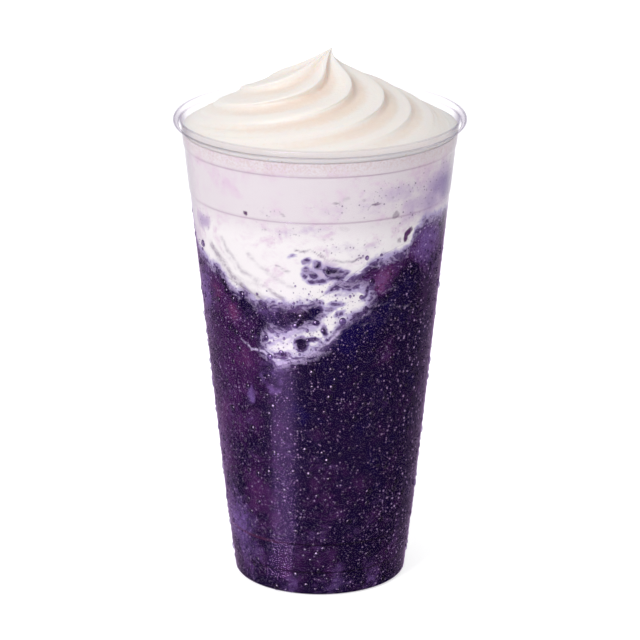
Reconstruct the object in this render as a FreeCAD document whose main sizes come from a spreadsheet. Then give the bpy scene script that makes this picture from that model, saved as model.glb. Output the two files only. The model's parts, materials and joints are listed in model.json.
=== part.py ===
"""A tall clear plastic cup of dark soda, topped with milk foam and a piped swirl of whipped cream.

Millimetres. +Z is up, and the origin is the middle of the cup's base, at the height that it stands on. -Y is the front.
The four pieces are the cup, the drink, the layer of milk foam on the drink and the whipped cream on the foam.
"""

import FreeCAD, Part
import math
import os

import Sketcher
from FreeCAD import Vector

SIZES = [
    # alias, value, what it is
    ("cup_height", 161.0, "base to the top of the rolled lip"),
    ("rim_radius", 49.0, "outside of the rolled lip"),
    ("draft_angle", 5.91, "lean of the wall from upright, in degrees"),
    ("wall", 0.35, "thickness of the plastic"),
    ("curl_radius", 1.4, "outside radius of the roll of the lip"),
    ("curl_end_angle", 112.0, "how far the roll turns back below its middle, in degrees"),
    ("upper_shoulder_drop", 9.8, "lip top down to the upper stacking shoulder"),
    ("lower_shoulder_drop", 25.7, "lip top down to the lower stacking shoulder"),
    ("base_shoulder_height", 19.0, "height of the faint shoulder near the base"),
    ("foot_shoulder_height", 8.5, "height of the shoulder that ends the foot"),
    ("shoulder_step", 0.25, "how far the wall steps out at each shoulder"),
    ("shoulder_height", 0.7, "height over which a shoulder steps out"),
    ("corner_radius", 1.6, "outside round between the foot and the standing ring"),
    ("standing_width", 1.2, "flat of the ring that the cup stands on"),
    ("push_up", 4.2, "rise of the base inside the standing ring"),
    ("push_up_lean", 1.6, "how far the push-up's side leans in over its rise"),
    ("cream_drop", 3.8, "lip top down to the edge of the whipped cream"),
    ("cream_edge", 1.0, "thickness of the whipped cream at the wall"),
    ("cream_clearance", 0.06, "gap between the whipped cream and the wall"),
    ("peak_height", 22.6, "tip of the whipped cream above the lip"),
    ("peak_shift", 5.4, "how far the tip leans to the right of the round under it"),
    ("peak_shift_reach", 4.7, "radius over which the tip leans"),
    ("peak_sharpness", 3.6, "rise of the drawn-out tip above the round of the swirl"),
    ("peak_reach", 3.4, "radius over which the tip is drawn out"),
    ("swirl_shift", -1.5, "how far the round of the swirl stands off the axis, left below 0"),
    ("swirl_roundness", 1.14, "1 is a cone, 2 is a dome"),
    ("ridge_count", 7, "ridges of the piped swirl"),
    ("ridge_depth", 2.8, "half the depth of a ridge where it is deepest, measured outwards"),
    ("ridge_sharpness", 0.4, "how much narrower a ridge is than the valley beside it, 0 to 1"),
    ("ridge_fade", 0.75, "how much shallower the ridges are on their faint side, 0 to 1"),
    ("ridge_fade_angle", -60.0, "where the ridges are deepest, in degrees from the right"),
    ("first_ridge_angle", 30.0, "where a ridge starts at the tip, in degrees from the right"),
    ("twist_angle", 202.0, "turn of a ridge from the tip to the wall, in degrees"),
    ("twist_growth", 1.74, "1 is an even turn, more turns faster near the wall"),
    ("drink_height", 121.0, "mean height of the drink"),
    ("drink_tilt", 9.0, "how much higher the drink climbs on the right than in the middle"),
    ("plume_depth", 15.0, "depth of the plume of foam that sinks at the front"),
    ("plume_radius", 19.0, "radius of that plume"),
    ("plume_distance", 36.0, "how far from the axis that plume is"),
    ("plume_angle", -12.0, "where that plume is, in degrees from the front"),
]

SWIRL_RINGS = 20
RING_CROWDING = 1.3
# What brings the ridges' share of their depth to 1 where it is greatest, a third of the way out.
DEEPEST = 6.75
POINTS_PER_RIDGE = 10
DRINK_GRID = 9
TOOL_MARGIN = 5.0


def add_sheet(doc):
    """The driving dimensions, one to a row, with their names as aliases."""
    sheet = doc.addObject("Spreadsheet::Sheet", "Sizes")
    for row, (alias, value, meaning) in enumerate(SIZES, start=1):
        sheet.set(f"A{row}", alias)
        sheet.set(f"B{row}", str(value))
        sheet.set(f"C{row}", meaning)
        sheet.setAlias(f"B{row}", alias)
    doc.recompute()
    return sheet



# The cup's outline. Radii and heights are expressions in the sheet's aliases, which the sketches are bound to.

SHOULDERS = [
    "(Sizes.cup_height - Sizes.upper_shoulder_drop)",
    "(Sizes.cup_height - Sizes.lower_shoulder_drop)",
    "Sizes.base_shoulder_height",
    "Sizes.foot_shoulder_height",
]
LIP_MIDDLE = ("(Sizes.rim_radius - Sizes.curl_radius)", "(Sizes.cup_height - Sizes.curl_radius)")


def lip_reach(inside):
    """Radius of the roll of the lip. The wall's inside runs on over the top of the roll."""
    return "Sizes.curl_radius" if inside else "(Sizes.curl_radius - Sizes.wall)"


def lip_start(inside):
    """Where the wall runs into the roll of the lip."""
    reach = lip_reach(inside)
    radius = f"({LIP_MIDDLE[0]} - {reach} * cos(Sizes.draft_angle))"
    height = f"({LIP_MIDDLE[1]} + {reach} * sin(Sizes.draft_angle))"
    return radius, height


def lip_end(inside):
    """Where the roll of the lip stops, turned back below its middle."""
    reach = lip_reach(inside)
    radius = f"({LIP_MIDDLE[0]} + {reach} * cos(Sizes.curl_end_angle))"
    height = f"({LIP_MIDDLE[1]} - {reach} * sin(Sizes.curl_end_angle))"
    return radius, height


def wall_radius(height, shoulders_above, inside):
    """Radius of the leaning wall at a height, with some of its shoulders above that height."""
    radius, top = lip_start(inside)
    steps = f"{shoulders_above} * Sizes.shoulder_step"
    return f"({radius} - ({top} - {height}) * tan(Sizes.draft_angle) - {steps})"


def line(radius, height):
    return {"end": (radius, height), "middle": None}


def arc(middle, end, turn):
    """A round stretch about a middle. Its turn is 1 if it runs anticlockwise, -1 if clockwise."""
    return {"end": end, "middle": middle, "turn": turn}


def base_and_wall(inside):
    """The outline from the axis out along the base and up the wall, as far as the roll of the lip."""
    outset = "Sizes.wall" if inside else "0"
    corner_reach = f"(Sizes.corner_radius - {outset})"
    meet_height = "(Sizes.corner_radius * (1 - sin(Sizes.draft_angle)))"
    meet_radius = wall_radius(meet_height, len(SHOULDERS), False)
    corner = (f"({meet_radius} - Sizes.corner_radius * cos(Sizes.draft_angle))", "Sizes.corner_radius")
    corner_end = (
        f"({corner[0]} + {corner_reach} * cos(Sizes.draft_angle))",
        f"({corner[1]} - {corner_reach} * sin(Sizes.draft_angle))",
    )
    push_up = f"(Sizes.push_up + {outset})"
    ring = f"({corner[0]} - Sizes.standing_width + {outset})"
    steps = [
        line("0", push_up),
        line(f"({ring} - Sizes.push_up_lean)", push_up),
        line(ring, outset),
        line(corner[0], outset),
        arc(corner, corner_end, 1),
    ]
    for above in range(len(SHOULDERS), 0, -1):
        low = SHOULDERS[above - 1]
        high = f"({low} + Sizes.shoulder_height)"
        steps.append(line(wall_radius(low, above, inside), low))
        steps.append(line(wall_radius(high, above - 1, inside), high))
    steps.append(line(*lip_start(inside)))
    return steps


def backwards(steps):
    """The same outline run the other way, leaving out its first corner."""
    turned = []
    for before, step in zip(reversed(steps[:-1]), reversed(steps[1:])):
        turned.append({**step, "end": before["end"], "turn": -step.get("turn", 0)})
    return turned


def cup_outline():
    """Up the outside, round the roll of the lip and back over its top, then down the inside to the axis."""
    outside = base_and_wall(inside=False)
    inside = base_and_wall(inside=True)
    roll = [arc(LIP_MIDDLE, lip_end(False), -1), line(*lip_end(True)), arc(LIP_MIDDLE, lip_start(True), 1)]
    return outside + roll + backwards(inside)


def cavity_outline():
    """The inside of the cup, its wall run on upwards past the tip of the whipped cream."""
    top = f"(Sizes.cup_height + Sizes.peak_height + {TOOL_MARGIN})"
    wall_top = line(wall_radius(top, 0, inside=True), top)
    return base_and_wall(inside=True)[:-1] + [wall_top, line("0", top)]


def bind(sketch, sheet, point, direction, expression):
    """Fix one coordinate of a sketch point to an expression, or put the point on the axis itself."""
    if expression == "0":
        axis = {"X": -2, "Y": -1}[direction]
        sketch.addConstraint(Sketcher.Constraint("PointOnObject", *point, axis))
        return
    value = float(sheet.evalExpression(expression))
    number = sketch.addConstraint(Sketcher.Constraint(f"Distance{direction}", -1, 1, *point, value))
    sketch.setExpression(f"Constraints[{number}]", expression)


def draw_outline(sketch, sheet, steps):
    """Draw a closed outline in a sketch, every corner bound to the sheet. Each step ends at its own corner."""
    ends = [Vector(*(float(sheet.evalExpression(e)) for e in step["end"]), 0) for step in steps]
    joints = []
    for number, step in enumerate(steps):
        start, end = ends[number - 1], ends[number]
        if step["middle"] is None:
            geometry = sketch.addGeometry(Part.LineSegment(start, end))
            joints.append(((geometry, 1), (geometry, 2), "XY"))
            continue
        middle = Vector(*(float(sheet.evalExpression(e)) for e in step["middle"]), 0)
        angles = [math.atan2(p.y - middle.y, p.x - middle.x) for p in (start, end)][:: step["turn"]]
        if angles[1] < angles[0]:
            angles[1] += 2 * math.pi
        circle = Part.Circle(middle, Vector(0, 0, 1), (start - middle).Length)
        geometry = sketch.addGeometry(Part.ArcOfCircle(circle, *angles))
        bind(sketch, sheet, (geometry, 3), "X", step["middle"][0])
        bind(sketch, sheet, (geometry, 3), "Y", step["middle"][1])
        upright = abs(end.x - middle.x) > abs(end.y - middle.y)
        both = ((geometry, 1), (geometry, 2))[:: step["turn"]]
        joints.append((*both, "Y" if upright else "X"))
    for number, step in enumerate(steps):
        start, _, _ = joints[(number + 1) % len(steps)]
        _, end, fixed = joints[number]
        sketch.addConstraint(Sketcher.Constraint("Coincident", *end, *start))
        for direction, expression in zip("XY", step["end"]):
            if direction in fixed:
                bind(sketch, sheet, end, direction, expression)


def turned_body(doc, sheet, name, steps):
    """A body made by turning an outline about the cup's axis."""
    body = doc.addObject("PartDesign::Body", name)
    plane = next(feature for feature in body.Origin.OriginFeatures if feature.Role == "XZ_Plane")
    sketch = body.newObject("Sketcher::SketchObject", f"{name}_outline")
    sketch.AttachmentSupport = [(plane, "")]
    sketch.MapMode = "FlatFace"
    draw_outline(sketch, sheet, steps)
    turn = body.newObject("PartDesign::Revolution", f"{name}_turn")
    turn.Profile = sketch
    turn.ReferenceAxis = (sketch, ["V_Axis"])
    turn.Angle = 360
    sketch.Visibility = False
    doc.recompute()
    return body


class Swirl:
    """The whipped cream: star-shaped rings from a star nozzle, which shrink and turn up to a drawn-out tip."""

    def __init__(self, sheet):
        self.sheet = sheet
        self.edge = sheet.cup_height - sheet.cream_drop
        self.bottom = self.edge - sheet.cream_edge
        self.edge_radius = self.space_radius(self.edge)
        self.ridges = round(sheet.ridge_count)
        self.around = self.ridges * POINTS_PER_RIDGE

    def space_radius(self, height):
        wall = float(self.sheet.evalExpression(wall_radius(str(height), 0, inside=True)))
        return wall - self.sheet.cream_clearance

    def height(self, radius):
        """A low round rise with a drawn-out tip."""
        rise = self.sheet.peak_height + self.sheet.cream_drop - self.sheet.peak_sharpness
        rounded = rise * (1 - (radius / self.edge_radius) ** self.sheet.swirl_roundness)
        drawn_out = self.sheet.peak_sharpness * math.exp(-radius / self.sheet.peak_reach)
        return self.edge + rounded + drawn_out

    def middle(self, share):
        """How far right of the axis a ring's middle is. The tip leans further than the round under it."""
        leaning = self.sheet.peak_shift * math.exp(-share * self.edge_radius / self.sheet.peak_shift_reach)
        return (leaning + self.sheet.swirl_shift) * (1 - share)

    def ring(self, share):
        """A ring whose ridges lean and have turned on from the tip. Its share of the edge's radius is 1 at the wall."""
        radius = share * self.edge_radius
        depth = self.sheet.ridge_depth * DEEPEST * share * (1 - share) ** 2
        first = math.radians(self.sheet.first_ridge_angle)
        turned = first - math.radians(self.sheet.twist_angle) * share**self.sheet.twist_growth
        middle = self.middle(share)
        height = self.height(radius)
        points = []
        for step in range(self.around):
            along = 2 * math.pi * step / POINTS_PER_RIDGE
            angle = along / self.ridges + turned
            away = angle - math.radians(self.sheet.ridge_fade_angle)
            fade = 1 - self.sheet.ridge_fade * (1 - math.cos(away)) / 2
            ridge = math.cos(along + self.sheet.ridge_sharpness * math.sin(along))
            reach = radius + depth * fade * ridge
            points.append(Vector(middle + reach * math.cos(angle), reach * math.sin(angle), height))
        return points

    def shape(self):
        """The closed solid: a flat underside, a short side along the wall, the rings and the tip."""
        edge = self.ring(1)
        underside = self.space_radius(self.bottom)
        foot = [Vector(p.x, p.y, 0).normalize() * underside + Vector(0, 0, self.bottom) for p in edge]
        shares = [(1 - number / SWIRL_RINGS) ** RING_CROWDING for number in range(1, SWIRL_RINGS)]
        rings = [foot, edge] + [self.ring(share) for share in shares]
        tip = Vector(self.middle(0), 0, self.height(0))
        points = [point for ring in rings for point in ring] + [Vector(0, 0, self.bottom), tip]
        triangles = []
        for low in range(len(rings) - 1):
            for step in range(self.around):
                here = low * self.around + step
                beside = low * self.around + (step + 1) % self.around
                triangles.append((here, beside, beside + self.around))
                triangles.append((here, beside + self.around, here + self.around))
        last = (len(rings) - 1) * self.around
        for step in range(self.around):
            beside = (step + 1) % self.around
            triangles.append((beside, step, len(points) - 2))
            triangles.append((last + step, last + beside, len(points) - 1))
        shell = Part.Shape()
        shell.makeShapeFromMesh((points, triangles), 1e-4)
        return Part.makeSolid(shell)


def drink_surface(sheet):
    """The boundary between drink and foam: it climbs to the right and sinks under a plume of foam at the front."""
    angle = math.radians(sheet.plume_angle)
    plume = Vector(math.sin(angle), -math.cos(angle), 0) * sheet.plume_distance
    half = sheet.rim_radius
    grid = []
    for row in range(DRINK_GRID):
        x = half * (2 * row / (DRINK_GRID - 1) - 1)
        line_of_points = []
        for column in range(DRINK_GRID):
            y = half * (2 * column / (DRINK_GRID - 1) - 1)
            away = math.hypot(x - plume.x, y - plume.y) / sheet.plume_radius
            sunk = sheet.plume_depth * math.exp(-away * away)
            line_of_points.append(Vector(x, y, sheet.drink_height + sheet.drink_tilt * x / half - sunk))
        grid.append(line_of_points)
    surface = Part.BSplineSurface()
    surface.interpolate(grid)
    return surface.toShape()


def add_feature(doc, name, shape):
    feature = doc.addObject("Part::Feature", name)
    feature.Shape = shape
    return feature


def add_common(doc, name, pieces):
    common = doc.addObject("Part::MultiCommon", name)
    common.Shapes = pieces
    return common


def add_drink(doc, sheet, cavity):
    """Everything in the cup below the boundary with the foam. The block below that boundary is given back too."""
    block = doc.addObject("Part::Extrusion", "drink_block")
    block.Base = add_feature(doc, "drink_surface", drink_surface(sheet))
    block.DirMode = "Custom"
    block.Dir = Vector(0, 0, -1)
    block.setExpression("LengthFwd", f"Sizes.cup_height + {TOOL_MARGIN}")
    block.Solid = True
    return add_common(doc, "drink", [cavity, block]), block


def add_cream_layer(doc, cavity, drink_block):
    """The milk foam: what is left of the cup's inside between the drink and the whipped cream."""
    space = doc.addObject("Part::Cylinder", "cream_layer_space")
    space.setExpression("Radius", "Sizes.rim_radius")
    space.setExpression("Height", "Sizes.cup_height - Sizes.cream_drop - Sizes.cream_edge")
    layer = doc.addObject("Part::Cut", "cream_layer")
    layer.Base = add_common(doc, "filled_space", [cavity, space])
    layer.Tool = drink_block
    return layer


def check_and_write(doc, nodes):
    """Stop on a failed object or a bad shape, then write each node's STEP file."""
    for thing in doc.Objects:
        if {"Invalid", "Error"} & set(thing.State):
            raise RuntimeError(f"{thing.Label} failed: {thing.State}")
    os.makedirs("parts", exist_ok=True)
    for node in nodes:
        shape = node.Shape
        if shape.isNull() or not shape.isValid() or len(shape.Solids) != 1:
            raise RuntimeError(f"{node.Label} isn't one valid solid")
        shape.exportStep(os.path.join("parts", f"{node.Label}.step"))
        print(f"{node.Label}: {shape.Volume / 1000:.1f} ml, top at {shape.BoundBox.ZMax:.2f} mm")


def main():
    doc = FreeCAD.newDocument("dark_soda")
    sheet = add_sheet(doc)
    cup = turned_body(doc, sheet, "cup", cup_outline())
    cavity = turned_body(doc, sheet, "cavity", cavity_outline())
    drink, drink_block = add_drink(doc, sheet, cavity)
    cream_layer = add_cream_layer(doc, cavity, drink_block)
    whipped_cream = add_feature(doc, "whipped_cream", Swirl(sheet).shape())
    doc.recompute()
    check_and_write(doc, [cup, drink, cream_layer, whipped_cream])


main()
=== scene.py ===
import json
import math

import bmesh
import bpy
import numpy as np
from bpy.props import FloatProperty, FloatVectorProperty, IntProperty, PointerProperty
from mathutils import Matrix, Vector, noise

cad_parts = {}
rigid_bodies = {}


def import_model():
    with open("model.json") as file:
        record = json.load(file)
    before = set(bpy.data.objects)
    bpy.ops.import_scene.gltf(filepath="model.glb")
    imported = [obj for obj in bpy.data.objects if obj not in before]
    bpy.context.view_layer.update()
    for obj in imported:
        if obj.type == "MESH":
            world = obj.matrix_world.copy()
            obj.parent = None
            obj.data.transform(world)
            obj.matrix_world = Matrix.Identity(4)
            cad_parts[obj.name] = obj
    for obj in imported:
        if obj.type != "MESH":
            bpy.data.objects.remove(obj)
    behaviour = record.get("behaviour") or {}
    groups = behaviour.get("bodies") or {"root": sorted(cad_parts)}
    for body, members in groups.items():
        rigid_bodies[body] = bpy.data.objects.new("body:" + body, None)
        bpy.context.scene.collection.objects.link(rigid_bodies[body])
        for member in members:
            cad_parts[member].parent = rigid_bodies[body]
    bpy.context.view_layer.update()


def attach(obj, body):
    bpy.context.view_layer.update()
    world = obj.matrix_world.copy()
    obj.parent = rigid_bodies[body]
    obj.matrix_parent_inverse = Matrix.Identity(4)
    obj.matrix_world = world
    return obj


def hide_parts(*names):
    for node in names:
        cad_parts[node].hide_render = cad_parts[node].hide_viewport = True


bl_info = {
    "name": "Dirty Soda",
    "version": (1, 0, 0),
    "blender": (4, 5, 0),
    "location": "View3D > Sidebar > Dirty Soda",
    "description": "A clear plastic cup of purple soda under milk foam and a swirl of whipped cream",
    "category": "Add Mesh",
}

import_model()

MM = 0.001


def paint(red, green, blue):
    """A colour as written on a paint chart, 0 to 255, in Blender's linear values."""
    levels = []
    for level in (red, green, blue):
        share = level / 255
        levels.append(share / 12.92 if share <= 0.04045 else ((share + 0.055) / 1.055) ** 2.4)
    return tuple(levels)


def length(name, description, default, **more):
    """A size in metres, given in millimetres."""
    return FloatProperty(
        name=name, description=description, default=default * MM, unit="LENGTH", precision=5, **more
    )


def share(name, description, default, low=0.0, high=1.0):
    return FloatProperty(name=name, description=description, default=default, min=low, max=high)


def angle(name, description, default):
    return FloatProperty(name=name, description=description, default=math.radians(default), subtype="ANGLE")


def colour(name, description, default):
    return FloatVectorProperty(
        name=name, description=description, default=paint(*default), size=3, min=0, max=1, subtype="COLOR"
    )


class CupSettings(bpy.types.PropertyGroup):
    height: length("Height", "Base to the top of the rolled lip", 161.0)
    rim_radius: length("Rim radius", "Outside of the rolled lip", 49.0)
    draft: angle("Draft", "Lean of the wall from upright", 5.91)
    wall: length("Wall", "Thickness of the plastic", 0.35)
    curl_radius: length("Curl radius", "Outside radius of the roll of the lip", 1.4)
    curl_end: angle("Curl end", "How far the roll turns back below its middle", 112.0)
    upper_shoulder: length("Upper shoulder", "Lip top down to the upper stacking shoulder", 9.8)
    lower_shoulder: length("Lower shoulder", "Lip top down to the lower stacking shoulder", 25.7)
    base_shoulder: length("Base shoulder", "Height of the faint shoulder near the base", 19.0)
    foot_shoulder: length("Foot shoulder", "Height of the shoulder that ends the foot", 8.5)
    shoulder_step: length("Shoulder step", "How far the wall steps out at each shoulder", 0.25)
    shoulder_height: length("Shoulder height", "Height over which a shoulder steps out", 0.7)
    corner_radius: length("Corner radius", "Outside round under the foot", 1.6)
    standing_width: length("Standing width", "Flat of the ring that the cup stands on", 1.2)
    push_up: length("Push-up", "Rise of the base inside the standing ring", 4.2)
    push_up_lean: length("Push-up lean", "How far the push-up's side leans in", 1.6)
    around: IntProperty(name="Segments", description="Divisions around the cup", default=192, min=32)
    plastic: colour("Plastic", "Colour of the clear plastic", (253, 252, 253))
    plastic_edge: colour("Plastic edge", "Colour of the plastic seen edge on", (182, 174, 192))
    # Painted shade: darker tints along the shoulders, deepest on the low ones.
    shoulder_shade: colour("Crease", "Colour of the plastic where a shoulder bends it", (236, 228, 236))
    low_shoulder_shade: colour("Low crease", "The same for the shoulders near the base", (150, 132, 160))
    dry_roughness: share("Dry roughness", "Roughness of the bare plastic", 0.03)
    mist_roughness: share("Mist roughness", "Roughness where fine mist covers the plastic", 0.22)
    mist_top: length("Mist top", "Height at which the fine mist fades out", 128.0)
    dry_shine: share("Dry shine", "How much the bare plastic reflects face on", 0.006)
    wet_shine: share("Wet shine", "How much the misted plastic reflects face on", 0.009)
    dry_glare: share("Dry glare", "How much the bare plastic reflects edge on", 0.8)
    wet_glare: share("Wet glare", "How much the misted plastic reflects edge on", 0.55)
    mist: colour("Mist", "Colour of the gloss on the misted plastic", (214, 178, 226))


class DrinkSettings(bpy.types.PropertyGroup):
    height: length("Height", "Mean height of the drink", 121.0)
    tilt: length("Tilt", "How much higher the drink climbs on the right", 9.0)
    plume_depth: length("Plume depth", "Depth of the plume of foam at the front", 15.0)
    plume_radius: length("Plume radius", "Radius of that plume", 19.0)
    plume_distance: length("Plume distance", "How far from the axis the plume is", 36.0)
    plume_angle: angle("Plume angle", "Where the plume is, from the front", -12.0)
    deep: colour("Deep soda", "Soda where nothing has mixed in", (20, 8, 45))
    plum: colour("Plum soda", "Soda on its redder side", (69, 31, 82))
    red: colour("Red soda", "Soda at its reddest", (120, 56, 98))
    navy: colour("Navy soda", "Soda on its bluer side", (20, 10, 66))
    # Also paints glare, low on the left and round the foot.
    lilac: colour("Lilac", "Soda with a little milk in it", (112, 84, 148))


class FoamSettings(bpy.types.PropertyGroup):
    drop: length("Drop", "Lip top down to the edge of the whipped cream", 3.8)
    edge: length("Edge", "Thickness of the whipped cream at the wall", 1.0)
    foam: colour("Foam", "The milk foam where it is whitest", (250, 246, 247))
    upper: colour("Upper foam", "The airy foam higher up", (234, 226, 231))
    froth: colour("Froth", "Fine froth just under the whipped cream", (224, 206, 206))
    pink: colour("Pink foam", "Foam with a blush of soda in it", (232, 211, 228))
    lavender: colour("Lavender foam", "Foam with soda showing through", (206, 188, 216))
    violet: colour("Violet foam", "Foam with the most soda showing through", (158, 138, 188))
    shade: colour("Shaded foam", "Foam tinted by the soda behind it", (180, 166, 208))
    veil: colour("Veil", "Soda with a thin veil of milk over it", (98, 78, 124))
    vein: colour("Vein", "Thin veins of milk in the soda", (206, 190, 226))
    streak: colour("Streak", "Grey streaks in the foam", (124, 104, 134))
    bubble: colour("Bubble", "Bubbles of soda held against the wall", (92, 54, 100))
    # Colour of painted glints on fine bubbles and drops on the wall.
    painted_glint: colour("Speck", "Fine bubbles on the wall of the cup", (214, 180, 236))


class CreamSettings(bpy.types.PropertyGroup):
    clearance: length("Clearance", "Gap between the whipped cream and the wall", 0.06)
    peak_height: length("Peak height", "Tip of the swirl above the lip", 22.6)
    peak_shift: length("Peak shift", "How far the tip leans to the right of the round under it", 5.4)
    peak_shift_reach: length("Peak shift reach", "Radius over which the tip leans", 4.7)
    peak_sharpness: length("Peak sharpness", "Rise of the drawn-out tip", 3.6)
    peak_reach: length("Peak reach", "Radius over which the tip is drawn out", 3.4)
    swirl_shift: length("Swirl shift", "How far the round of the swirl stands off the axis", -1.5)
    roundness: share("Roundness", "1 is a cone, 2 is a dome", 1.14, 0.5, 3.0)
    ridge_count: IntProperty(name="Ridges", description="Ridges of the piped swirl", default=7, min=3)
    ridge_depth: length("Ridge depth", "Half the depth of a ridge where it is deepest", 2.8)
    ridge_sharpness: share("Ridge sharpness", "How much narrower a ridge is than a valley", 0.4)
    ridge_fade: share("Ridge fade", "How much shallower the ridges are on their faint side", 0.75)
    fade_angle: angle("Fade angle", "Where the ridges are deepest, from the right", -60.0)
    first_ridge: angle("First ridge", "Where a ridge starts at the tip, from the right", 30.0)
    twist: angle("Twist", "Turn of a ridge from the tip to the wall", 202.0)
    twist_growth: share("Twist growth", "1 is an even turn, more turns faster near the wall", 1.74, 0.5, 4.0)
    waver: length("Waver", "How far the ridges wander from even", 0.5)
    rings: IntProperty(name="Rings", description="Rings from the wall to the tip", default=108, min=10)
    around: IntProperty(name="Points around", description="Divisions around the swirl", default=320, min=64)
    cream: colour("Cream", "The whipped cream", (243, 236, 231))
    # Painted shade: warmer, darker cream deep in the folds between the ridges.
    fold: colour("Fold", "The warmer cream in the folds", (238, 221, 208))
    pit: colour("Pit", "Fine pits where the cream meets the wall", (228, 202, 178))


class WaterSettings(bpy.types.PropertyGroup):
    tint: colour("Tint", "Colour seen through the middle of a drop", (228, 220, 236))
    rim: colour("Rim", "Colour seen through the edge of a drop", (118, 100, 146))
    shine: share("Shine", "How much a drop reflects face on", 0.004)
    glare: share("Glare", "How much a drop reflects edge on", 0.12)
    gloss: colour("Gloss", "Colour of the drops' gloss", (226, 196, 244))
    roughness: share("Roughness", "Roughness of the drops", 0.3)
    sink: length("Sink", "How far a drop's foot is set into the plastic", 0.06)
    top: length("Top", "Height up to which the wall is wet at the front", 112.0)
    seed: IntProperty(name="Seed", description="Which scatter of drops", default=4)


class StageSettings(bpy.types.PropertyGroup):
    camera_place: FloatVectorProperty(
        name="Camera", description="Where the camera stands", default=(0, -1.12719, 0.45397), unit="LENGTH"
    )
    camera_target: FloatVectorProperty(
        name="Target", description="What the camera looks at", default=(0, 0, 0.08892), unit="LENGTH"
    )
    lens: FloatProperty(name="Lens", description="Focal length in millimetres", default=196.7, min=1)
    key_power: FloatProperty(name="Key", description="Power of the key light", default=9.0, unit="POWER")
    glint_power: FloatProperty(
        name="Glint", description="Power of the lamp that glints in the drops", default=420.0, unit="POWER"
    )
    sky: share("Sky", "Level of the light from all around", 0.56, 0, 5)
    floor: colour("Floor", "The pale floor", (242, 242, 242))
    sheen: colour("Sheen", "Colour of the soft upright sheen on the wall", (214, 196, 240))
    sheen_power: share("Sheen strength", "How bright that sheen is", 18.0, 0, 100)
    sheen_angle: angle("Sheen angle", "Where the patch that makes the sheen lies, from the front", -37.0)
    sheen_width: share("Sheen width", "Width of that patch over its distance", 0.42, 0, 2)


class SodaSettings(bpy.types.PropertyGroup):
    cup: PointerProperty(type=CupSettings)
    drink: PointerProperty(type=DrinkSettings)
    foam: PointerProperty(type=FoamSettings)
    cream: PointerProperty(type=CreamSettings)
    water: PointerProperty(type=WaterSettings)
    stage: PointerProperty(type=StageSettings)


def settings():
    return bpy.context.scene.dirty_soda


# Outlines and meshes


def lip_reach(cup, inset):
    """Radius of the lip's roll for a surface this far in from the outside of the wall."""
    return cup.curl_radius - cup.wall + inset


def lip_middle(cup):
    return cup.rim_radius - cup.curl_radius, cup.height - cup.curl_radius


def wall_top(cup, inset):
    """Where the wall runs into the roll of the lip."""
    radius, height = lip_middle(cup)
    reach = lip_reach(cup, inset)
    return radius - reach * math.cos(cup.draft), height + reach * math.sin(cup.draft)


def shoulders(cup):
    return (
        cup.height - cup.upper_shoulder,
        cup.height - cup.lower_shoulder,
        cup.base_shoulder,
        cup.foot_shoulder,
    )


def wall_radius(cup, height, inset=0.0):
    """Radius of the wall at a height, or at an array of heights."""
    radius, top = wall_top(cup, inset)
    radius = radius - (top - height) * math.tan(cup.draft)
    for shoulder in shoulders(cup):
        climb = np.clip((height - shoulder) / cup.shoulder_height, 0, 1)
        radius = radius - cup.shoulder_step * (1 - climb * climb * (3 - 2 * climb))
    return radius


def arc_points(middle, reach, start, end, steps):
    """Points round an arc, both its ends among them."""
    turns = [start + (end - start) * step / steps for step in range(steps + 1)]
    return [(middle[0] + reach * math.cos(turn), middle[1] + reach * math.sin(turn)) for turn in turns]


def base_outline(cup, inset):
    """From the axis out along the base, round the corner and as far as the foot of the wall."""
    meet = cup.corner_radius * (1 - math.sin(cup.draft))
    corner_x = float(wall_radius(cup, meet)) - cup.corner_radius * math.cos(cup.draft)
    corner = (corner_x, cup.corner_radius)
    ring = corner_x - cup.standing_width + inset
    top = cup.push_up + inset
    points = [(0, top)]
    points += [((ring - cup.push_up_lean - 1.5 * MM) * step / 8, top) for step in range(1, 9)]
    lean = math.atan2(cup.push_up, cup.push_up_lean)
    for step in range(1, 12):
        climb = step / 12
        eased = climb * climb * (3 - 2 * climb)
        reach = ring - cup.push_up_lean - 1.5 * MM + (cup.push_up_lean + 1.5 * MM) * climb ** (lean / 1.2)
        points.append((reach, top - cup.push_up * eased))
    points += [(ring, inset), (corner_x, inset)]
    points += arc_points(corner, cup.corner_radius - inset, -math.pi / 2, -cup.draft, 8)[1:]
    return points


def wall_heights(cup, low, high, spacing):
    """Heights up the wall, even between the shoulders and close together on them."""
    stops = [low, high]
    for shoulder in shoulders(cup):
        stops += [shoulder + cup.shoulder_height * step / 6 for step in range(7)]
    stops = sorted(stop for stop in stops if low <= stop <= high)
    heights = []
    for start, end in zip(stops, stops[1:]):
        pieces = max(1, round((end - start) / spacing))
        heights += [start + (end - start) * step / pieces for step in range(pieces)]
    return heights + [high]


def spun(name, outline, around):
    """A mesh turned about the upright axis from (radius, height) points. A wedge is spun, then doubled."""
    bm = bmesh.new()
    corners = [bm.verts.new((radius, 0, height)) for radius, height in outline]
    edges = [bm.edges.new(pair) for pair in zip(corners, corners[1:])]
    wedge = math.pi / 4
    bmesh.ops.spin(
        bm, geom=corners + edges, cent=(0, 0, 0), axis=(0, 0, 1), angle=wedge, steps=around // 8, use_merge=False
    )
    for doubling in range(3):
        copied = bmesh.ops.duplicate(bm, geom=bm.verts[:] + bm.edges[:] + bm.faces[:])["geom"]
        turned = [item for item in copied if isinstance(item, bmesh.types.BMVert)]
        turn = Matrix.Rotation(wedge * 2**doubling, 3, "Z")
        bmesh.ops.rotate(bm, verts=turned, cent=(0, 0, 0), matrix=turn)
    bmesh.ops.remove_doubles(bm, verts=bm.verts, dist=2e-6)
    bmesh.ops.recalc_face_normals(bm, faces=bm.faces)
    for face in bm.faces:
        face.smooth = True
    mesh = bpy.data.meshes.new(name)
    bm.to_mesh(mesh)
    bm.free()
    return mesh


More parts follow.
